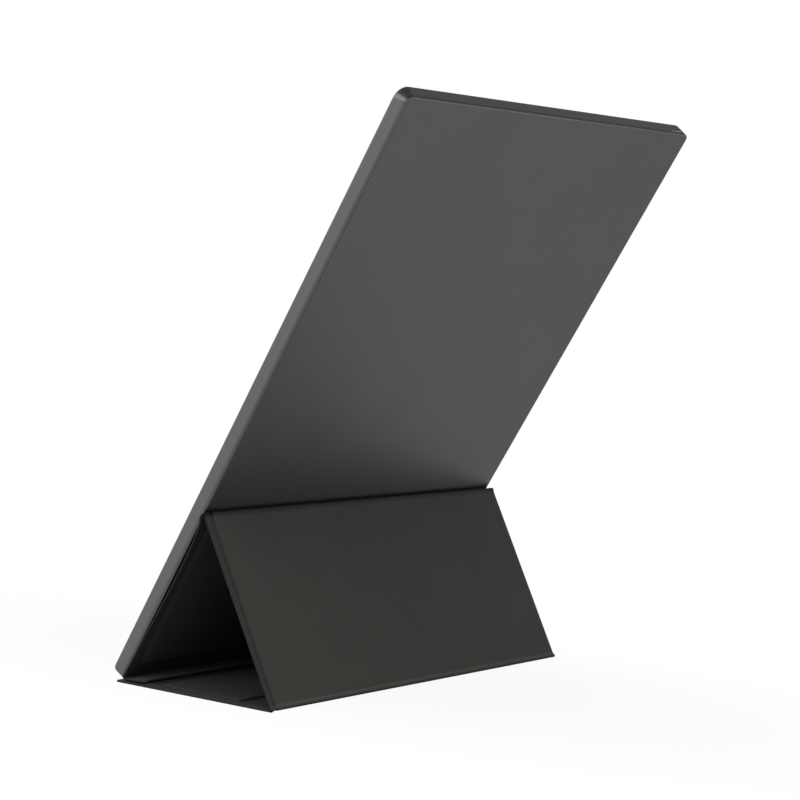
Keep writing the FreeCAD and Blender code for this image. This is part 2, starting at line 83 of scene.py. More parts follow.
# Forms pressed into the sheets
board_corner = 3.0 * mm
floor_corner = 2.0 * mm
flap_corner = 6.0 * mm
side_line = 4.5 * mm
side_line_width = 4.0 * mm
side_line_depth = 0.3 * mm
# Painted shade: how strongly the skin's attribute of painted shade darkens its colour, the share of depth and
# painted shade that the far side's pressed line keeps, and the painted shade of the margin beyond each line, which
# is also pressed in a little
painted_shade_strength = 0.45
faint_line = 0.15
margin_painted_shade = 0.45
hem_width = 5.0 * mm
hem_line_width = 0.8 * mm
hem_line_depth = 0.2 * mm
drape_width = 0.9 * mm
board_fit = 0.05 * mm
form_steps = 10
valley_steps = 8
corner_steps = 6
# Name of the sheets' attribute of painted shade, which paints a highlight where it is below zero
painted_shading = "painted_shading"
edge_round = 0.22 * mm
edge_steps = 3
edge_turn = 0.8
side_turn = 0.5
smooth_angle = math.radians(35)
level_gap = 0.02 * mm
weld_gap = 0.001 * mm

# Front panel's side margins, which stand off the monitor between their ends
margin_slack = 1.1 * mm
margin_pinch = 2.4 * mm
slack_lean = 0.55
slack_cuts = 5
slack_rows = 24

# Near side margin of the rear panel and its fold, which bends out towards the foot
flare = Vector((0, 2.2, 0)) * mm
flare_curve = 1.4
flare_cuts = 4

# Flap's free edge, which curls up off the floor panel
curl_length = 2.9 * mm
curl_rise = 1.0 * mm
curl_steps = 5

# Folds, and how far the pull of the panels swells two of them
ridge_bend = 2.0 * mm
rear_bend = 1.4 * mm
foot_bend = 1.4 * mm
fold_seam = 4.7 * mm
ridge_reach = 4.5 * mm
ridge_swell = Vector((0, 1.2, 1.2)) * mm
rear_reach = 3.5 * mm
rear_swell = Vector((0, 1.8, 0)) * mm
leg_steps = 8
bend_steps = 14

# Bands of painted shade and painted highlight on a fold: a dark band below the ridge, where the monitor shades it,
# and on the rear fold a lighter crest and a darker underside: offset from its line, width, darkness (below zero,
# lighter)
ridge_painted_bands = ((Vector((0, 1.0, -1.7)) * mm, 7.0 * mm, 1.35),)
rear_painted_bands = ((Vector((0, -0.9, 2.5)) * mm, 2.8 * mm, -1.3),
              (Vector((0, 0.2, 0.7)) * mm, 2.2 * mm, 1.2))

# The cover's fold lines, and the direction in which each panel runs
across = Vector((1, 0, 0))
backwards = Vector((0, 1, 0))
fold_lines = {joint["name"]: Vector(joint["pos_m"]) for joint in frame["joints"] if "pos_m" in joint}
ridge_line = fold_lines["ridge_fold"]
rear_line = fold_lines["rear_fold"]
foot_line = fold_lines["foot_fold"]
floor_start = Vector((0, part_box("floor_skin")[0].y, 0))
rear_along = (ridge_line - rear_line).normalized()
front_along = (foot_line - ridge_line).normalized()
floor_length = (rear_line - floor_start).length
rear_length = (ridge_line - rear_line).length
front_length = (foot_line - ridge_line).length
half_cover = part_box("rear_skin")[1].x
half_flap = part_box("flap_skin")[1].x

# The monitor's own directions, the borders of its screen, and where the bezel's face turns into its sides
screen_up = -front_along
screen_out = front_along.cross(across)
side_border = 8.0 * mm
wide_border = 24.8 * mm
end_border = 7.75 * mm
side_reach = 1.0 * mm
side_depth = 0.1 * mm

# Finishes: the housing's metal, the spread of a grain in colour and roughness, and its relief
housing_metallic = 0.85
edge_tint = (0.5, 0.5, 0.5, 1)
side_polish = 0.2
grain_share = 0.6
housing_spread = 0.1
nap_spread = 0.2
plain_spread = 0.12
roughness_spread = 0.1
fine_detail = 3.0
cloud_detail = 4.0
metal_relief = 0.02 * mm
pebble_relief = 0.06 * mm
nap_relief = 0.05 * mm
bare_metal = {"Metallic": 1.0}

# The camera that was fitted to the photograph
image_width = 800
focal_pixels = 1939.0
centre_drop = 93.5
sensor_width = 36.0
camera_place = Vector((770.31, 742.35, 190.43)) * mm
camera_turn = math.radians(132.315)
camera_drop = math.radians(4.908)
camera_roll = 0.00829

# Soft boxes: place, size and power in watts, and the point that they all face
soft_boxes = {
    "left_box": ((2.1, -0.8, 1.3), 1.6, 10),
    "back_box": ((-1.0, 4.6, 1.0), 1.8, 16),
    "right_box": ((-3.7, 3.2, 0.7), 0.8, 14),
}
light_target = Vector((0, 0, 0.12))

# World's light, which grows with height and towards the near side
sky_low = 0.2
sky_high = 1.5
sky_height = 0.9
far_side = -0.8
far_side_light = 0.25
near_side = 0.5
near_side_light = 1.15

# White wall that is seen all round: it darkens overhead, and for mirrors on its far side
wall_top = 0.25
overhead_height = 0.95
overhead_darkening = 0.9
dim_side = -0.9
dim_side_end = -0.74
dim_side_light = 0.55

# Floor: its share of white near the part, as seen and as mirrored, and a spot that mirrors see dark
floor_reach = 15
floor_drop = 0.05 * mm
floor_grey = (0.6, 0.6, 0.6, 1)
floor_stretch = (3, 1, 1)
floor_near = 0.12
floor_far = 0.5
near_white = 0.92
near_mirrored = 0.35
spot_place = (0.25, 0.26, 0)
spot_inner = 0.14
spot_outer = 0.32
spot_mirrored = 0.1


# Building pieces

def panel_place(start, along):
    """Matrix that puts a sheet made flat, x across, y along and z inwards, on its panel."""
    inwards = across.cross(along)
    turn = Matrix((across, along, inwards)).transposed()
    return Matrix.Translation(start) @ turn.to_4x4()


def finished(bm, name, place=Matrix(), flares=False):
    """Object made from a mesh, with its faces pointing outwards and its soft edges shaded smooth."""
    bmesh.ops.transform(bm, matrix=place, verts=bm.verts)
    if flares:
        flared(bm)
    bmesh.ops.recalc_face_normals(bm, faces=bm.faces)
    mesh = bpy.data.meshes.new(name)
    bm.to_mesh(mesh)
    bm.free()
    mesh.shade_smooth()
    mesh.set_sharp_from_angle(angle=smooth_angle)
    piece = bpy.data.objects.new(name, mesh)
    bpy.context.scene.collection.objects.link(piece)
    return piece


def flared(bm):
    """Bend the near side margin out, from nothing at the ridge to most at the rear fold."""
    cuts = [half_cover - panel_margin * step / flare_cuts for step in range(1, flare_cuts + 1)]
    cut_across(bm, across, cuts)
    for vert in bm.verts:
        out = max(0, (vert.co.x - half_cover + panel_margin) / panel_margin)
        down = min(1, max(0, (vert.co.y - ridge_line.y) / (rear_line.y - ridge_line.y)))
        vert.co += flare * (down * out ** flare_curve)


def flat_face(bm, half, start, end, height, low_corner, high_corner):
    """One flat face, with its corners rounded at the low and at the high end."""
    before = set(bm.faces)
    middle = Vector((0, (start + end) / 2, height))
    size = Vector((2 * half, end - start, 1))
    made = bmesh.ops.create_grid(bm, x_segments=1, y_segments=1, size=0.5,
                                 matrix=Matrix.LocRotScale(middle, None, size))
    low = [vert for vert in made["verts"] if vert.co.y < middle.y]
    high = [vert for vert in made["verts"] if vert.co.y > middle.y]
    for corners, radius in ((low, low_corner), (high, high_corner)):
        if radius:
            bmesh.ops.bevel(bm, geom=corners, offset=radius, offset_type="OFFSET", segments=corner_steps,
                            profile=0.5, affect="VERTICES", material=-1)
    return next(face for face in bm.faces if face not in before)


def pressed(bm, face, width, heights):
    """Draw a face in by steps, so that its border follows a row of heights."""
    step = width / (len(heights) - 1)
    for low, high in zip(heights, heights[1:]):
        bmesh.ops.inset_region(bm, faces=[face], thickness=step, depth=high - low, use_even_offset=True,
                               use_boundary=True)


def drape_heights(rise):
    """A soft step up."""
    return [rise * math.sin(math.pi / 2 * step / form_steps) ** 2 for step in range(form_steps + 1)]


def formed_side(bm, half, start, end, height, corners, forms):
    """One side of a sheet, with forms pressed into it. Gives the edges round its rim."""
    before = set(bm.edges)
    rim = flat_face(bm, half, start, end, height, *corners)
    rim_edges = list(rim.edges)
    if not forms:
        return rim_edges
    bmesh.ops.delete(bm, geom=[rim], context="FACES_ONLY")
    for form_half, form_start, form_end, corner, width, heights in forms:
        face = flat_face(bm, form_half, form_start, form_end, height, corner, corner)
        pressed(bm, face, width, heights)
    borders = [edge for edge in bm.edges if edge not in before and len(edge.link_faces) < 2]
    bmesh.ops.triangle_fill(bm, edges=borders, use_beauty=True, normal=(0, 0, 1))
    return rim_edges


def drawn_out(bm, edges, run, steps):
    """Extrude a ring of edges along a straight run in steps, and give the ring at its end."""
    for step in range(steps):
        drawn = bmesh.ops.extrude_edge_only(bm, edges=edges)["geom"]
        moved = [item for item in drawn if isinstance(item, bmesh.types.BMVert)]
        bmesh.ops.translate(bm, verts=moved, vec=run / steps)
        edges = [item for item in drawn if isinstance(item, bmesh.types.BMEdge)
                 and all(vert in moved for vert in item.verts)]
    return edges


def cut_across(bm, direction, levels):
    """Cut a mesh at right angles to a direction, at each of the levels."""
    for level in levels:
        bmesh.ops.bisect_plane(bm, geom=bm.verts[:] + bm.edges[:] + bm.faces[:], dist=weld_gap,
                               plane_co=direction * level, plane_no=direction)


def valley(offset, width):
    """Share of a soft groove's depth at an offset from its middle."""
    return math.cos(math.pi * offset / width) ** 2 if abs(offset) < width / 2 else 0


def valley_levels(middle, width):
    """Levels at which a sheet is cut to take a soft groove."""
    return [middle + width * (step / valley_steps - 0.5) for step in range(valley_steps + 1)]


def side_lines(bm, half):
    """Cut a mesh along the lines pressed near its two sides, and give each corner's depth and painted shade."""
    line = half - side_line
    for sign in (-1, 1):
        cut_across(bm, across, valley_levels(sign * line, side_line_width))
    share = bm.verts.layers.float.new(painted_shading)
    for vert in bm.verts:
        strength = 1 if vert.co.x > 0 else faint_line
        off_line = abs(vert.co.x) - line
        beyond = margin_painted_shade if off_line > 0 else 0
        # The pressed lines and the margins beyond them take painted shade, and the same share sets how deep they
        # are pressed
        vert[share] = strength * max(valley(off_line, side_line_width), beyond)
    return share


class Panel:
    """One flat part of the cover: its body, its place, its outline and the boards in it."""

    def __init__(self, body, part, start, along, half, begin, end, margin, boards, corners=(0, 0),
                 free_ends=(), flares=False):
        self.body = body
        self.part = part
        self.place = panel_place(start, along)
        self.half = half
        self.begin = begin
        self.end = end
        self.margin = margin
        self.boards = boards
        self.corners = corners
        self.free_ends = free_ends
        self.flares = flares

    def side(self, bm, height, forms=()):
        """One side of a sheet with the panel's outline."""
        return formed_side(bm, self.half, self.begin, self.end, height, self.corners, forms)

    def rounded_rim(self, bm, rim):
        """Round the free edges of the side that shows."""
        joined = [level for level in (self.begin, self.end) if level not in self.free_ends]
        free_edges = [edge for edge in rim
                      if not any(all(abs(vert.co.y - level) < level_gap for vert in edge.verts)
                                 for level in joined)]
        bmesh.ops.bevel(bm, geom=free_edges, offset=edge_round, offset_type="OFFSET", segments=edge_steps,
                        profile=0.5, affect="EDGES", material=-1)

    def skin_sheet(self, form):
        """Outer sheet, with a line pressed along each side."""
        bm = bmesh.new()
        rim = self.side(bm, 0)
        back = drawn_out(bm, rim, Vector((0, 0, skin_thickness)), 1)
        bmesh.ops.edgeloop_fill(bm, edges=back)
        self.rounded_rim(bm, rim)
        share = side_lines(bm, self.half)
        for vert in bm.verts:
            if vert.co.z < skin_thickness / 2:
                vert.co.z += side_line_depth * vert[share]
        for face in bm.faces:
            face.material_index = 1 if abs(face.normal.x) > edge_turn else 0
        if form:
            form(self, bm)
        return finished(bm, self.part + "_skin_sheet", self.place, self.flares)

    def lining_sheet(self, form):
        """Inner sheet, drawn over the boards, with the skin's hem turned in along the free edges."""
        bm = bmesh.new()
        sides = self.half - self.margin
        rim = self.side(bm, margin_thickness, [draped(sides, *board) for board in self.boards])
        back = self.side(bm, skin_thickness, [hollow(sides, *board) for board in self.boards])
        bmesh.ops.bridge_loops(bm, edges=rim + back)
        self.rounded_rim(bm, rim)
        self.hem(bm)
        if form:
            form(self, bm)
        return finished(bm, self.part + "_lining_sheet", self.place, self.flares)

    def hem(self, bm):
        """Give the turned-in hem the skin's material, and press a line along its inner edge."""
        line = self.half - hem_width if self.free_ends else self.half
        middle = (self.begin + self.end) / 2
        end_lines = [free + math.copysign(hem_width, middle - free) for free in self.free_ends]
        for sign in (-1, 1):
            cut_across(bm, across, valley_levels(sign * line, hem_line_width))
        for end_line in end_lines:
            cut_across(bm, backwards, valley_levels(end_line, hem_line_width))
        for face in bm.faces:
            centre = face.calc_center_median()
            beyond = any((centre.y - end_line) * (middle - end_line) < 0 for end_line in end_lines)
            cut_edge = abs(face.normal.x) > edge_turn
            face.material_index = 1 if (abs(centre.x) > line or beyond) and not cut_edge else 0
        for vert in bm.verts:
            if vert.co.z > margin_thickness - edge_round / 2:
                depths = [valley(abs(vert.co.x) - line, hem_line_width)]
                if abs(vert.co.x) <= line:
                    depths += [valley(vert.co.y - end_line, hem_line_width) for end_line in end_lines]
                vert.co.z -= hem_line_depth * max(depths)

    def slackened(self, bm):
        """Draw the side margins in and away from the monitor between their ends."""
        for sign in (-1, 1):
            cut_across(bm, across, [sign * (self.half - self.margin * step / slack_cuts)
                                    for step in range(1, slack_cuts + 1)])
        length = self.end - self.begin
        cut_across(bm, backwards, [self.begin + length * step / slack_rows for step in range(1, slack_rows)])
        for vert in bm.verts:
            out = max(0, (abs(vert.co.x) - self.half + self.margin) / self.margin) ** 2
            run = min(1, max(0, (vert.co.y - self.begin) / length))
            swell = math.sin(math.pi * run ** slack_lean)
            pinch = margin_pinch * swell + (self.half - half_flap) * run
            vert.co.z += margin_slack * swell * out
            vert.co.x -= math.copysign(pinch * out, vert.co.x)

    def curled(self, bm):
        """Bend the far end up in a curve."""
        start = self.end - curl_length
        cut_across(bm, backwards, [start + curl_length * step / curl_steps for step in range(curl_steps)])
        for vert in bm.verts:
            vert.co.z += curl_rise * max(0, (vert.co.y - start) / curl_length) ** 2


def draped(half, start, end, rise):
    """The lining drawn over a board, as a form of its sheet."""
    return (half + drape_width, start - drape_width, end + drape_width, board_corner + drape_width,
            drape_width, drape_heights(rise))


def hollow(half, start, end, rise):
    """The board's own place under the lining, as a form of its sheet."""
    return half + board_fit, start - board_fit, end + board_fit, board_corner, board_fit, (0, rise)


def bend_centre(line, along_in, along_out, bend):
    """Point that a fold's round bend turns about."""
    inwards_in = across.cross(along_in)
    inwards_out = across.cross(along_out)
    return line + (inwards_in + inwards_out) * (bend / (1 + inwards_in.dot(inwards_out)))


def fold_inwards(away, along_in, along_out):
    """Direction from a strip's outer face to its inner one, at an offset from the bend's centre."""
    if away.dot(along_in) < 0:
        return across.cross(along_in)
    if away.dot(along_out) > 0:
        return across.cross(along_out)
    return Vector((0, -away.y, -away.z)).normalized()


def swollen(bm, line, reach, swell):
    """Push a mesh out round a line across the cover, most at the line itself."""
    for vert in bm.verts:
        away = vert.co - line
        vert.co += swell * valley(math.hypot(away.y, away.z), 2 * reach)


def bent_band(half, line, centre, along_in, along_out, bend):
    """Closed strip that runs along one panel's face, round the bend and along the next panel's face."""
    turn = along_in.angle(along_out)
    straight = fold_seam - bend * math.tan(turn / 2)
    bm = bmesh.new()
    section = Matrix.LocRotScale(Vector((0, 0, margin_thickness / 2)), None,
                                 Vector((2 * half, 1, margin_thickness)))
    upright = Matrix.Rotation(math.pi / 2, 4, "X")
    bmesh.ops.create_grid(bm, x_segments=1, y_segments=1, size=0.5, matrix=section @ upright)
    bmesh.ops.transform(bm, matrix=panel_place(line - along_in * fold_seam, along_in), verts=bm.verts)
    ring = list(bm.edges)
    bmesh.ops.delete(bm, geom=list(bm.faces), context="FACES_ONLY")
    ring = drawn_out(bm, ring, along_in * straight, leg_steps)
    ring_verts = list({vert for edge in ring for vert in edge.verts})
    spun = bmesh.ops.spin(bm, geom=ring_verts + ring, cent=centre, axis=across, angle=turn, steps=bend_steps)
    ring = [item for item in spun["geom_last"] if isinstance(item, bmesh.types.BMEdge)]
    drawn_out(bm, ring, along_out * straight, leg_steps)
    bmesh.ops.holes_fill(bm, edges=bm.edges)
    bmesh.ops.recalc_face_normals(bm, faces=bm.faces)
    return bm


def rounded_sides(bm):
    """Round the long edges at a strip's two sides."""
    side_edges = [edge for edge in bm.edges
                  if abs(edge.verts[0].co.x - edge.verts[1].co.x) < edge_round
                  and any(abs(face.normal.x) > side_turn for face in edge.link_faces)
                  and not any(len(face.edges) != 4 for face in edge.link_faces)]
    bmesh.ops.bevel(bm, geom=side_edges, offset=edge_round, offset_type="OFFSET", segments=edge_steps,
                    profile=0.5, affect="EDGES", material=-1)


def fold_strip(name, half, line, along_in, along_out, bend, reach, swell, painted_bands, flares):
    """Strip round a fold, with lines pressed near its sides, its swelling and its bands of painted shade and
    painted highlight.
    """
    centre = bend_centre(line, along_in, along_out, bend)
    bm = bent_band(half, line, centre, along_in, along_out, bend)
    rounded_sides(bm)
    for face in bm.faces:
        faces_in = (centre - face.calc_center_median()).dot(face.normal) > 0
        face.material_index = 1 if faces_in and abs(face.normal.x) < side_turn else 0
    share = side_lines(bm, half)
    for vert in bm.verts:
        away = vert.co - centre
        inwards = fold_inwards(away, along_in, along_out)
        if bend + away.dot(inwards) < margin_thickness / 2:
            vert.co += inwards * (side_line_depth * vert[share])
    if reach:
        swollen(bm, line, reach, swell)
    # Painted shade and painted highlight: each band adds to the strip's attribute of painted shade
    for offset, width, strength in painted_bands:
        for vert in bm.verts:
            away = vert.co - line - offset
            vert[share] += strength * valley(math.hypot(away.y, away.z), width)
    return finished(bm, name, flares=flares)


# Camera and lights

def photo_camera():
    """Camera that sees the part as the photograph does."""
    data = bpy.data.cameras.new("photo_camera")
    data.sensor_width = sensor_width
    data.lens = sensor_width * focal_pixels / image_width
    data.shift_y = centre_drop / image_width
    data.clip_start = 0.01
    data.clip_end = 100
    level = math.cos(camera_drop)
    back = Vector((math.sin(camera_turn) * level, -math.cos(camera_turn) * level, math.sin(camera_drop)))
    right = Vector((0, 0, 1)).cross(back).normalized()
    up = back.cross(right)
    rolled_right = right * math.cos(camera_roll) + up * math.sin(camera_roll)
    rolled_up = up * math.cos(camera_roll) - right * math.sin(camera_roll)
    camera = bpy.data.objects.new("photo_camera", data)
    turn = Matrix((rolled_right, rolled_up, back)).transposed()
    camera.matrix_world = Matrix.Translation(camera_place) @ turn.to_4x4()
    bpy.context.scene.collection.objects.link(camera)
    bpy.context.scene.camera = camera


def soft_box(name, place, size, power):
    """Square studio light that faces the part."""
    data = bpy.data.lights.new(name, "AREA")
    data.size = size
    data.energy = power
    lamp = bpy.data.objects.new(name, data)
    towards = light_target - Vector(place)
    lamp.matrix_world = Matrix.Translation(place) @ towards.to_track_quat("-Z", "Y").to_matrix().to_4x4()
    bpy.context.scene.collection.objects.link(lamp)


# Materials

class Wire:
    """One output in a material's nodes. Arithmetic on wires adds Math nodes."""

    def __init__(self, finish, socket):
        self.finish = finish
        self.socket = socket

    def __add__(self, other):
        return self.finish.maths("ADD", self, other)

    def __radd__(self, other):
        return self.finish.maths("ADD", other, self)

    def __sub__(self, other):
        return self.finish.maths("SUBTRACT", self, other)

    def __rsub__(self, other):
        return self.finish.maths("SUBTRACT", other, self)

    def __mul__(self, other):
        return self.finish.maths("MULTIPLY", self, other)

    def __rmul__(self, other):
        return self.finish.maths("MULTIPLY", other, self)

    def __abs__(self):
        return self.finish.maths("ABSOLUTE", self, 0)

    def __gt__(self, other):
        return self.finish.maths("GREATER_THAN", self, other)

    def __lt__(self, other):
        return self.finish.maths("LESS_THAN", self, other)


class Finish:
    """The node tree of a material or of the world."""

    def __init__(self, tree):
        self.tree = tree

    def node(self, kind, settings=None, inputs=None, output=0):
        """Add a node: its settings, then the values or wires of its sockets. Gives one output as a wire."""
        made = self.tree.nodes.new(kind)
        for name, value in (settings or {}).items():
            setattr(made, name, value)
        for socket, value in (inputs or {}).items():
            self.feed(made.inputs[socket], value)
        return Wire(self, made.outputs[output])

    def feed(self, socket, value):
        if isinstance(value, Wire):
            self.tree.links.new(value.socket, socket)
        else:
            socket.default_value = value

    def maths(self, operation, first, second):
        return self.node("ShaderNodeMath", {"operation": operation}, {0: first, 1: second})

    def place(self):
        return self.node("ShaderNodeTexCoord", output="Object")

    def noise(self, scale, detail=2.0):
        """Soft random pattern, with about this many lumps in a metre."""
        return self.node("ShaderNodeTexNoise", {}, {"Vector": self.place(), "Scale": scale, "Detail": detail})

    def cells(self, scale):
        """Distance from the nearest point of a scattered set."""
        return self.node("ShaderNodeTexVoronoi", {"feature": "SMOOTH_F1"},
                         {"Vector": self.place(), "Scale": scale}, "Distance")

    def mixed(self, share, first, second):
        """Colour between two colours."""
        colours = {0: share, 6: first, 7: second}
        return self.node("ShaderNodeMix", {"data_type": "RGBA"}, colours, 2)

    def tinted(self, pattern, colour, spread):
        """Colour that a pattern makes darker and lighter by a share."""
        return self.mixed(pattern, shaded(colour, 1 - spread), shaded(colour, 1 + spread))

    def around(self, pattern, middle, spread):
        """Level that varies with a pattern about its middle."""
        return middle - spread / 2 + pattern * spread

    def eased(self, value, start, end, low=0.0, high=1.0):
        """Soft step from one level to another between two values."""
        return self.node("ShaderNodeMapRange", {"interpolation_type": "SMOOTHSTEP"},
                         {"Value": value, "From Min": start, "From Max": end, "To Min": low, "To Max": high})

    def scaled(self, colour, factor):
        return self.node("ShaderNodeVectorMath", {"operation": "SCALE"}, {0: colour, "Scale": factor})

    def bump(self, height, strength, distance):
        return self.node("ShaderNodeBump", {}, {"Strength": strength, "Distance": distance, "Height": height})

    def along(self, direction):
        """How far a point lies in a direction."""
        return self.node("ShaderNodeVectorMath", {"operation": "DOT_PRODUCT"},
                         {0: self.place(), 1: tuple(direction)}, "Value")


def grey(level):
    return level, level, level


def shaded(colour, factor):
    """A colour made lighter or darker, with its alpha."""
    return tuple(channel * factor for channel in colour) + (1.0,)


def new_material(name, constants):
    """Material with the values that are the same all over it set on its shader."""
    material = bpy.data.materials.new(name)
    material.use_nodes = True
    finish = Finish(material.node_tree)
    shader = material.node_tree.nodes["Principled BSDF"]
    for socket, value in constants.items():
        shader.inputs[socket].default_value = value
    return material, finish, shader.inputs


def housing_finish(name, colour, roughness):
    """Dark grey anodised metal with a fine blasted grain."""
    material, finish, inputs = new_material(name, {"Metallic": housing_metallic, "Specular Tint": edge_tint})
    grain = finish.noise(scale=2600, detail=fine_detail)
    cloud = finish.noise(scale=25)
    pattern = grain * grain_share + cloud * (1 - grain_share)
    finish.feed(inputs["Base Color"], finish.tinted(pattern, colour, housing_spread))
    finish.feed(inputs["Roughness"], finish.around(grain, roughness, roughness_spread))
    finish.feed(inputs["Normal"], finish.bump(grain, strength=0.12, distance=metal_relief))
    return material


def skin_finish():
    """Warm dark grey leather cloth with a fine pebbled grain, and painted shade and painted highlight from the
    sheets' attribute.
    """
    colour = (0.0515, 0.0492, 0.0449)
    material, finish, inputs = new_material("cover_skin", {"Specular IOR Level": 0.1})
    pebble = finish.cells(scale=1500)
    cloud = finish.noise(scale=40, detail=cloud_detail)
    painted_shade = finish.node("ShaderNodeAttribute", {"attribute_name": painted_shading}, output="Fac")
    light_pebble = shaded(colour, 1.12)
    dark_seam = shaded(colour, 0.86)
    grained = finish.mixed((pebble + cloud) * 0.5, light_pebble, dark_seam)
    # Painted shade darkens the grained colour, and painted highlight lightens it where the attribute is below zero
    finish.feed(inputs["Base Color"], finish.scaled(grained, 1 - painted_shade * painted_shade_strength))
    finish.feed(inputs["Roughness"], finish.around(cloud, middle=0.64, spread=0.12))
    finish.feed(inputs["Normal"], finish.bump(0 - pebble, strength=0.35, distance=pebble_relief))
    return material


def lining_finish():
    """Short-napped microfibre, a little purple."""
    colour = (0.031, 0.029, 0.0298)
    material, finish, inputs = new_material("cover_lining", {"Specular IOR Level": 0.0, "Sheen Weight": 0.03})
    nap = finish.noise(scale=3500, detail=fine_detail)
    cloud = finish.noise(scale=60, detail=cloud_detail)
    finish.feed(inputs["Base Color"], finish.tinted((nap + cloud) * 0.5, colour, nap_spread))
    finish.feed(inputs["Roughness"], finish.around(nap, middle=0.9, spread=roughness_spread))
    finish.feed(inputs["Normal"], finish.bump(nap, strength=0.4, distance=nap_relief))
    return material


def bezel_sides(finish):
    """Mask of the bezel's sides: all that lies outside its window and behind its face."""
    corners = [vert.co for vert in frame["nodes"]["front_bezel"].data.vertices]
    widths = [corner.x for corner in corners]
    heights = [corner.dot(screen_up) for corner in corners]
    front_level = max(corner.dot(screen_out) for corner in corners)
    left, right = min(widths) + wide_border, max(widths) - side_border
    low, high = min(heights) + end_border, max(heights) - end_border
    off_middle = abs(finish.along(across) - (left + right) / 2) - (right - left) / 2
    off_centre = abs(finish.along(screen_up) - (low + high) / 2) - (high - low) / 2
    outside = finish.maths("MAXIMUM", off_middle, off_centre) > side_reach
    return outside * (finish.along(screen_out) < front_level - side_depth)


def bezel_finish(colour, side_colour):
    """Matte black round the screen, with its sides in the housing's grey."""
    material, finish, inputs = new_material("bezel", {"Specular Tint": edge_tint})
    side = bezel_sides(finish)
    grain = finish.noise(scale=3000, detail=fine_detail)
    finish.feed(inputs["Base Color"], finish.mixed(side, shaded(colour, 1), shaded(side_colour, 1)))
    finish.feed(inputs["Metallic"], side * housing_metallic)
    matte = finish.around(grain, middle=0.5, spread=roughness_spread)
    finish.feed(inputs["Roughness"], matte - side * side_polish)
    finish.feed(inputs["Normal"], finish.bump(grain, strength=0.12, distance=metal_relief))
    return material


def plain_finish(name, colour, roughness, grain_scale, constants=None):
    """Finish with a fine grain in its colour, its roughness and its relief."""
    material, finish, inputs = new_material(name, constants or {})
    grain = finish.noise(grain_scale, fine_detail)
    finish.feed(inputs["Base Color"], finish.tinted(grain, colour, plain_spread))
    finish.feed(inputs["Roughness"], finish.around(grain, roughness, roughness_spread))
    finish.feed(inputs["Normal"], finish.bump(grain, strength=0.1, distance=metal_relief))
    return material


def wear(piece, *materials):
    """Give a piece its materials in place of those it has."""
    while piece.data.materials:
        piece.data.materials.pop()
    for material in materials:
        piece.data.materials.append(material)


# Stage

def white_seen(finish, seen, mirrored):
    """White for the eye, straight or through glass, and white for mirrors, but none for other light."""
    camera = finish.node("ShaderNodeLightPath", output="Is Camera Ray")
    glossy = finish.node("ShaderNodeLightPath", output="Is Glossy Ray")
    through = finish.node("ShaderNodeLightPath", output="Is Transmission Ray")
    return (camera + through) * seen + glossy * mirrored


def white_world():
    """White wall all round, and a softer light that comes from it."""
    world = bpy.data.worlds.new("white_world")
    world.use_nodes = True
    bpy.context.scene.world = world
    finish = Finish(world.node_tree)
    background = world.node_tree.nodes["Background"]
    background.inputs["Color"].default_value = (1, 1, 1, 1)
    direction = finish.node("ShaderNodeTexCoord", output="Generated")
    height = finish.node("ShaderNodeSeparateXYZ", {}, {0: direction}, "Z")
    side = finish.node("ShaderNodeSeparateXYZ", {}, {0: direction}, "X")
    sky = finish.eased(height, 0.0, sky_height, sky_low, sky_high)
    light = sky * finish.eased(side, far_side, near_side, far_side_light, near_side_light)
    wall = 1 - finish.eased(height, wall_top, overhead_height) * overhead_darkening
    mirrored = wall * finish.eased(side, dim_side, dim_side_end, dim_side_light)
    finish.feed(background.inputs["Strength"], light + white_seen(finish, wall - light, mirrored - light))


def white_floor():
    """Pale floor that takes the part's shadow and turns white away from it."""
    bm = bmesh.new()
    bmesh.ops.create_grid(bm, x_segments=1, y_segments=1, size=floor_reach,
                          matrix=Matrix.Translation((0, 0, -floor_drop)))
    floor = finished(bm, "floor")
    material = bpy.data.materials.new("floor")
    material.use_nodes = True
    tree = material.node_tree
    tree.nodes.clear()
    finish = Finish(tree)
    paint = finish.node("ShaderNodeBsdfDiffuse", {}, {"Color": floor_grey})
    glow = finish.node("ShaderNodeEmission", {}, {"Color": (1, 1, 1, 1), "Strength": 1.0})
    spread = finish.node("ShaderNodeVectorMath", {"operation": "MULTIPLY"},
                         {0: finish.place(), 1: floor_stretch})
    distance = finish.node("ShaderNodeVectorMath", {"operation": "LENGTH"}, {0: spread}, "Value")
    far = finish.eased(distance, floor_near, floor_far)
    beside = finish.node("ShaderNodeVectorMath", {"operation": "DISTANCE"},
                         {0: finish.place(), 1: spot_place}, "Value")
    clear = finish.eased(beside, spot_inner, spot_outer)
    seen = near_white + far * (1 - near_white)
    mirrored = (near_mirrored + far * (1 - near_mirrored)) * (spot_mirrored + clear * (1 - spot_mirrored))
    share = white_seen(finish, seen, mirrored)
    mixed = finish.node("ShaderNodeMixShader", {}, {0: share, 1: paint, 2: glow})
    end = tree.nodes.new("ShaderNodeOutputMaterial")
    tree.links.new(mixed.socket, end.inputs["Surface"])
    wear(floor, material)


# Cover

skin = skin_finish()
lining = lining_finish()


def cover_piece(piece, body, node, slot, *materials):
    """Dress a sheet and put it in the place of its solid."""
    wear(piece, *materials)
    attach(piece, body)
    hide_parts(node)


def cover_panel(panel, form=None):
    """A panel's skin and lining, and the form that both take."""
    outer = panel.skin_sheet(form)
    inner = panel.lining_sheet(form)
    cover_piece(outer, panel.body, panel.part + "_skin", "cover_skin", skin, lining)
    cover_piece(inner, panel.body, panel.part + "_lining", "cover_lining", lining, skin)


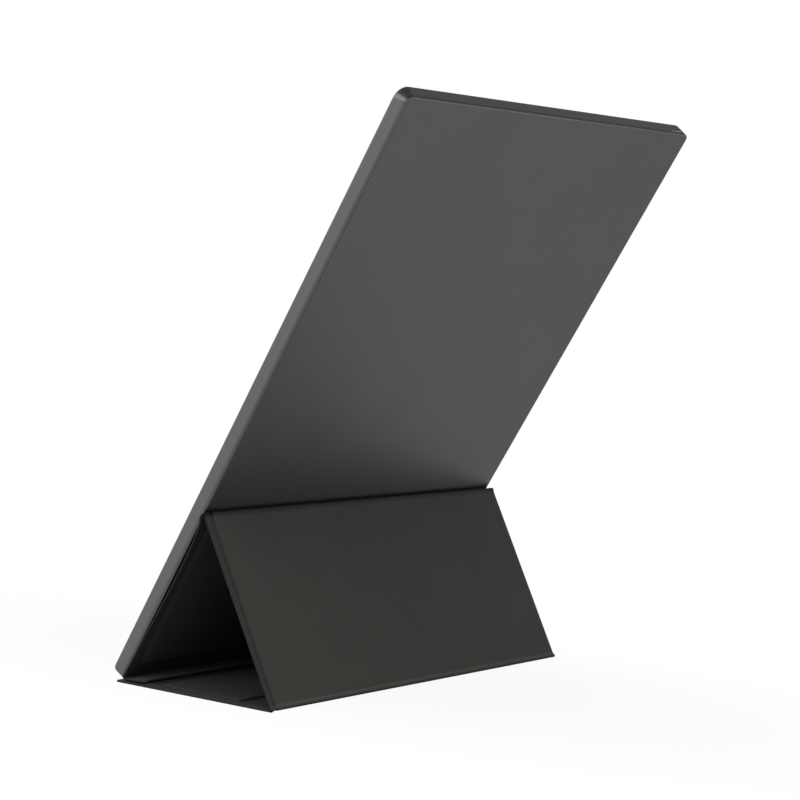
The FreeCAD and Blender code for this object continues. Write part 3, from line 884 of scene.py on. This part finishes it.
def cover_panels(ridge_strip, rear_strip, foot_strip):
    """The cover's three panels and its flap."""
    plateau = (plateau_start, plateau_end, board_thickness)
    keeper = (keeper_start, keeper_end, keeper_thickness)
    rear_board = (board_setback, rear_length - board_setback, board_thickness)
    front_board = (board_setback, front_length - foot_setback, board_thickness)
    flap_board = (flap_setback, flap_length - flap_end_margin, flap_board_thickness)
    cover_panel(Panel("floor_panel", "floor", floor_start, backwards, half_cover, 0, floor_length - fold_seam,
                      panel_margin, (plateau, keeper), corners=(floor_corner, 0), free_ends=(0,),
                      flares=True))
    cover_panel(Panel("rear_panel", "rear", rear_line, rear_along, half_cover, fold_seam,
                      rear_length - fold_seam, panel_margin, (rear_board,), flares=True))
    cover_panel(Panel("front_panel", "front", ridge_line, front_along, half_cover, fold_seam,
                      front_length - fold_seam, front_margin, (front_board,)), Panel.slackened)
    cover_panel(Panel("foot_flap", "flap", foot_line, backwards, half_flap, fold_seam, flap_length,
                      flap_margin, (flap_board,), corners=(0, flap_corner), free_ends=(flap_length,)),
                Panel.curled)


def cover_fold(name, node, half, line, along_in, along_out, bend, reach=0, swell=None,
               painted_bands=(), flares=False):
    """A fold's strip, leather outside and lining inside, put in the place of its solid."""
    strip = fold_strip(name, half, line, along_in, along_out, bend, reach, swell, painted_bands, flares)
    wear(strip, skin, lining)
    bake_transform(strip)
    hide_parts(node)
    return strip


def cover_folds():
    """The strips of the cover's three folds."""
    ridge = cover_fold("ridge_fold_strip", "ridge_strip", half_cover, ridge_line, rear_along,
                       front_along, ridge_bend, ridge_reach, ridge_swell, ridge_painted_bands)
    rear = cover_fold("rear_fold_strip", "rear_strip", half_cover, rear_line, backwards,
                      rear_along, rear_bend, rear_reach, rear_swell, rear_painted_bands,
                      flares=True)
    foot = cover_fold("foot_fold_strip", "foot_strip", half_flap, foot_line, front_along,
                      backwards, foot_bend)
    return ridge, rear, foot


# Monitor

def dress_nodes():
    """Finishes of the solids that stay as they are."""
    side_grey = grey(0.139)
    plate = housing_finish("back_plate", grey(0.0975), roughness=0.37)
    frame_grey = housing_finish("mid_frame", side_grey, roughness=0.3)
    bezel = bezel_finish(grey(0.02), side_grey)
    button = plain_finish("button", grey(0.022), roughness=0.5, grain_scale=3000)
    glass = plain_finish("screen_glass", (0.006, 0.006, 0.008), roughness=0.22, grain_scale=4000)
    foam = plain_finish("foam", grey(0.03), roughness=0.9, grain_scale=2500)
    clear = plain_finish("clear_plastic", grey(0.8), roughness=0.3, grain_scale=500)
    aluminium = plain_finish("sheet_aluminium", grey(0.6), roughness=0.35, grain_scale=1500,
                             constants=bare_metal)
    steel = plain_finish("plated_steel", (0.55, 0.54, 0.52), roughness=0.28, grain_scale=2000,
                         constants=bare_metal)
    bright = plain_finish("bright_steel", (0.86, 0.85, 0.83), roughness=0.3, grain_scale=2000,
                          constants=bare_metal)
    circuit = plain_finish("circuit_board", (0.03, 0.14, 0.06), roughness=0.4, grain_scale=900)
    black = plain_finish("black_plastic", grey(0.02), roughness=0.45, grain_scale=2500)
    board = plain_finish("grey_board", (0.2, 0.18, 0.15), roughness=0.9, grain_scale=700)
    by_slot = {"housing": frame_grey, "bezel": bezel, "screen_glass": glass, "foam": foam,
               "clear_plastic": clear, "sheet_aluminium": aluminium, "steel": steel, "circuit": circuit,
               "black_plastic": black, "cover_board": board, "cover_skin": skin, "cover_lining": lining}
    for part in frame["record"]["subparts"]:
        wear(frame["nodes"][part["node"]], by_slot[part["material_slot"]])
    wear(frame["nodes"]["back_cover"], plate)
    wear(frame["nodes"]["usb_c_shell"], bright)
    wear(frame["nodes"]["power_button"], button)
    wear(frame["nodes"]["menu_button"], button)


photo_camera()
for box, (place, size, power) in soft_boxes.items():
    soft_box(box, place, size, power)
white_world()
white_floor()
dress_nodes()
cover_panels(*cover_folds())

bpy.context.scene.view_settings.view_transform = "Standard"
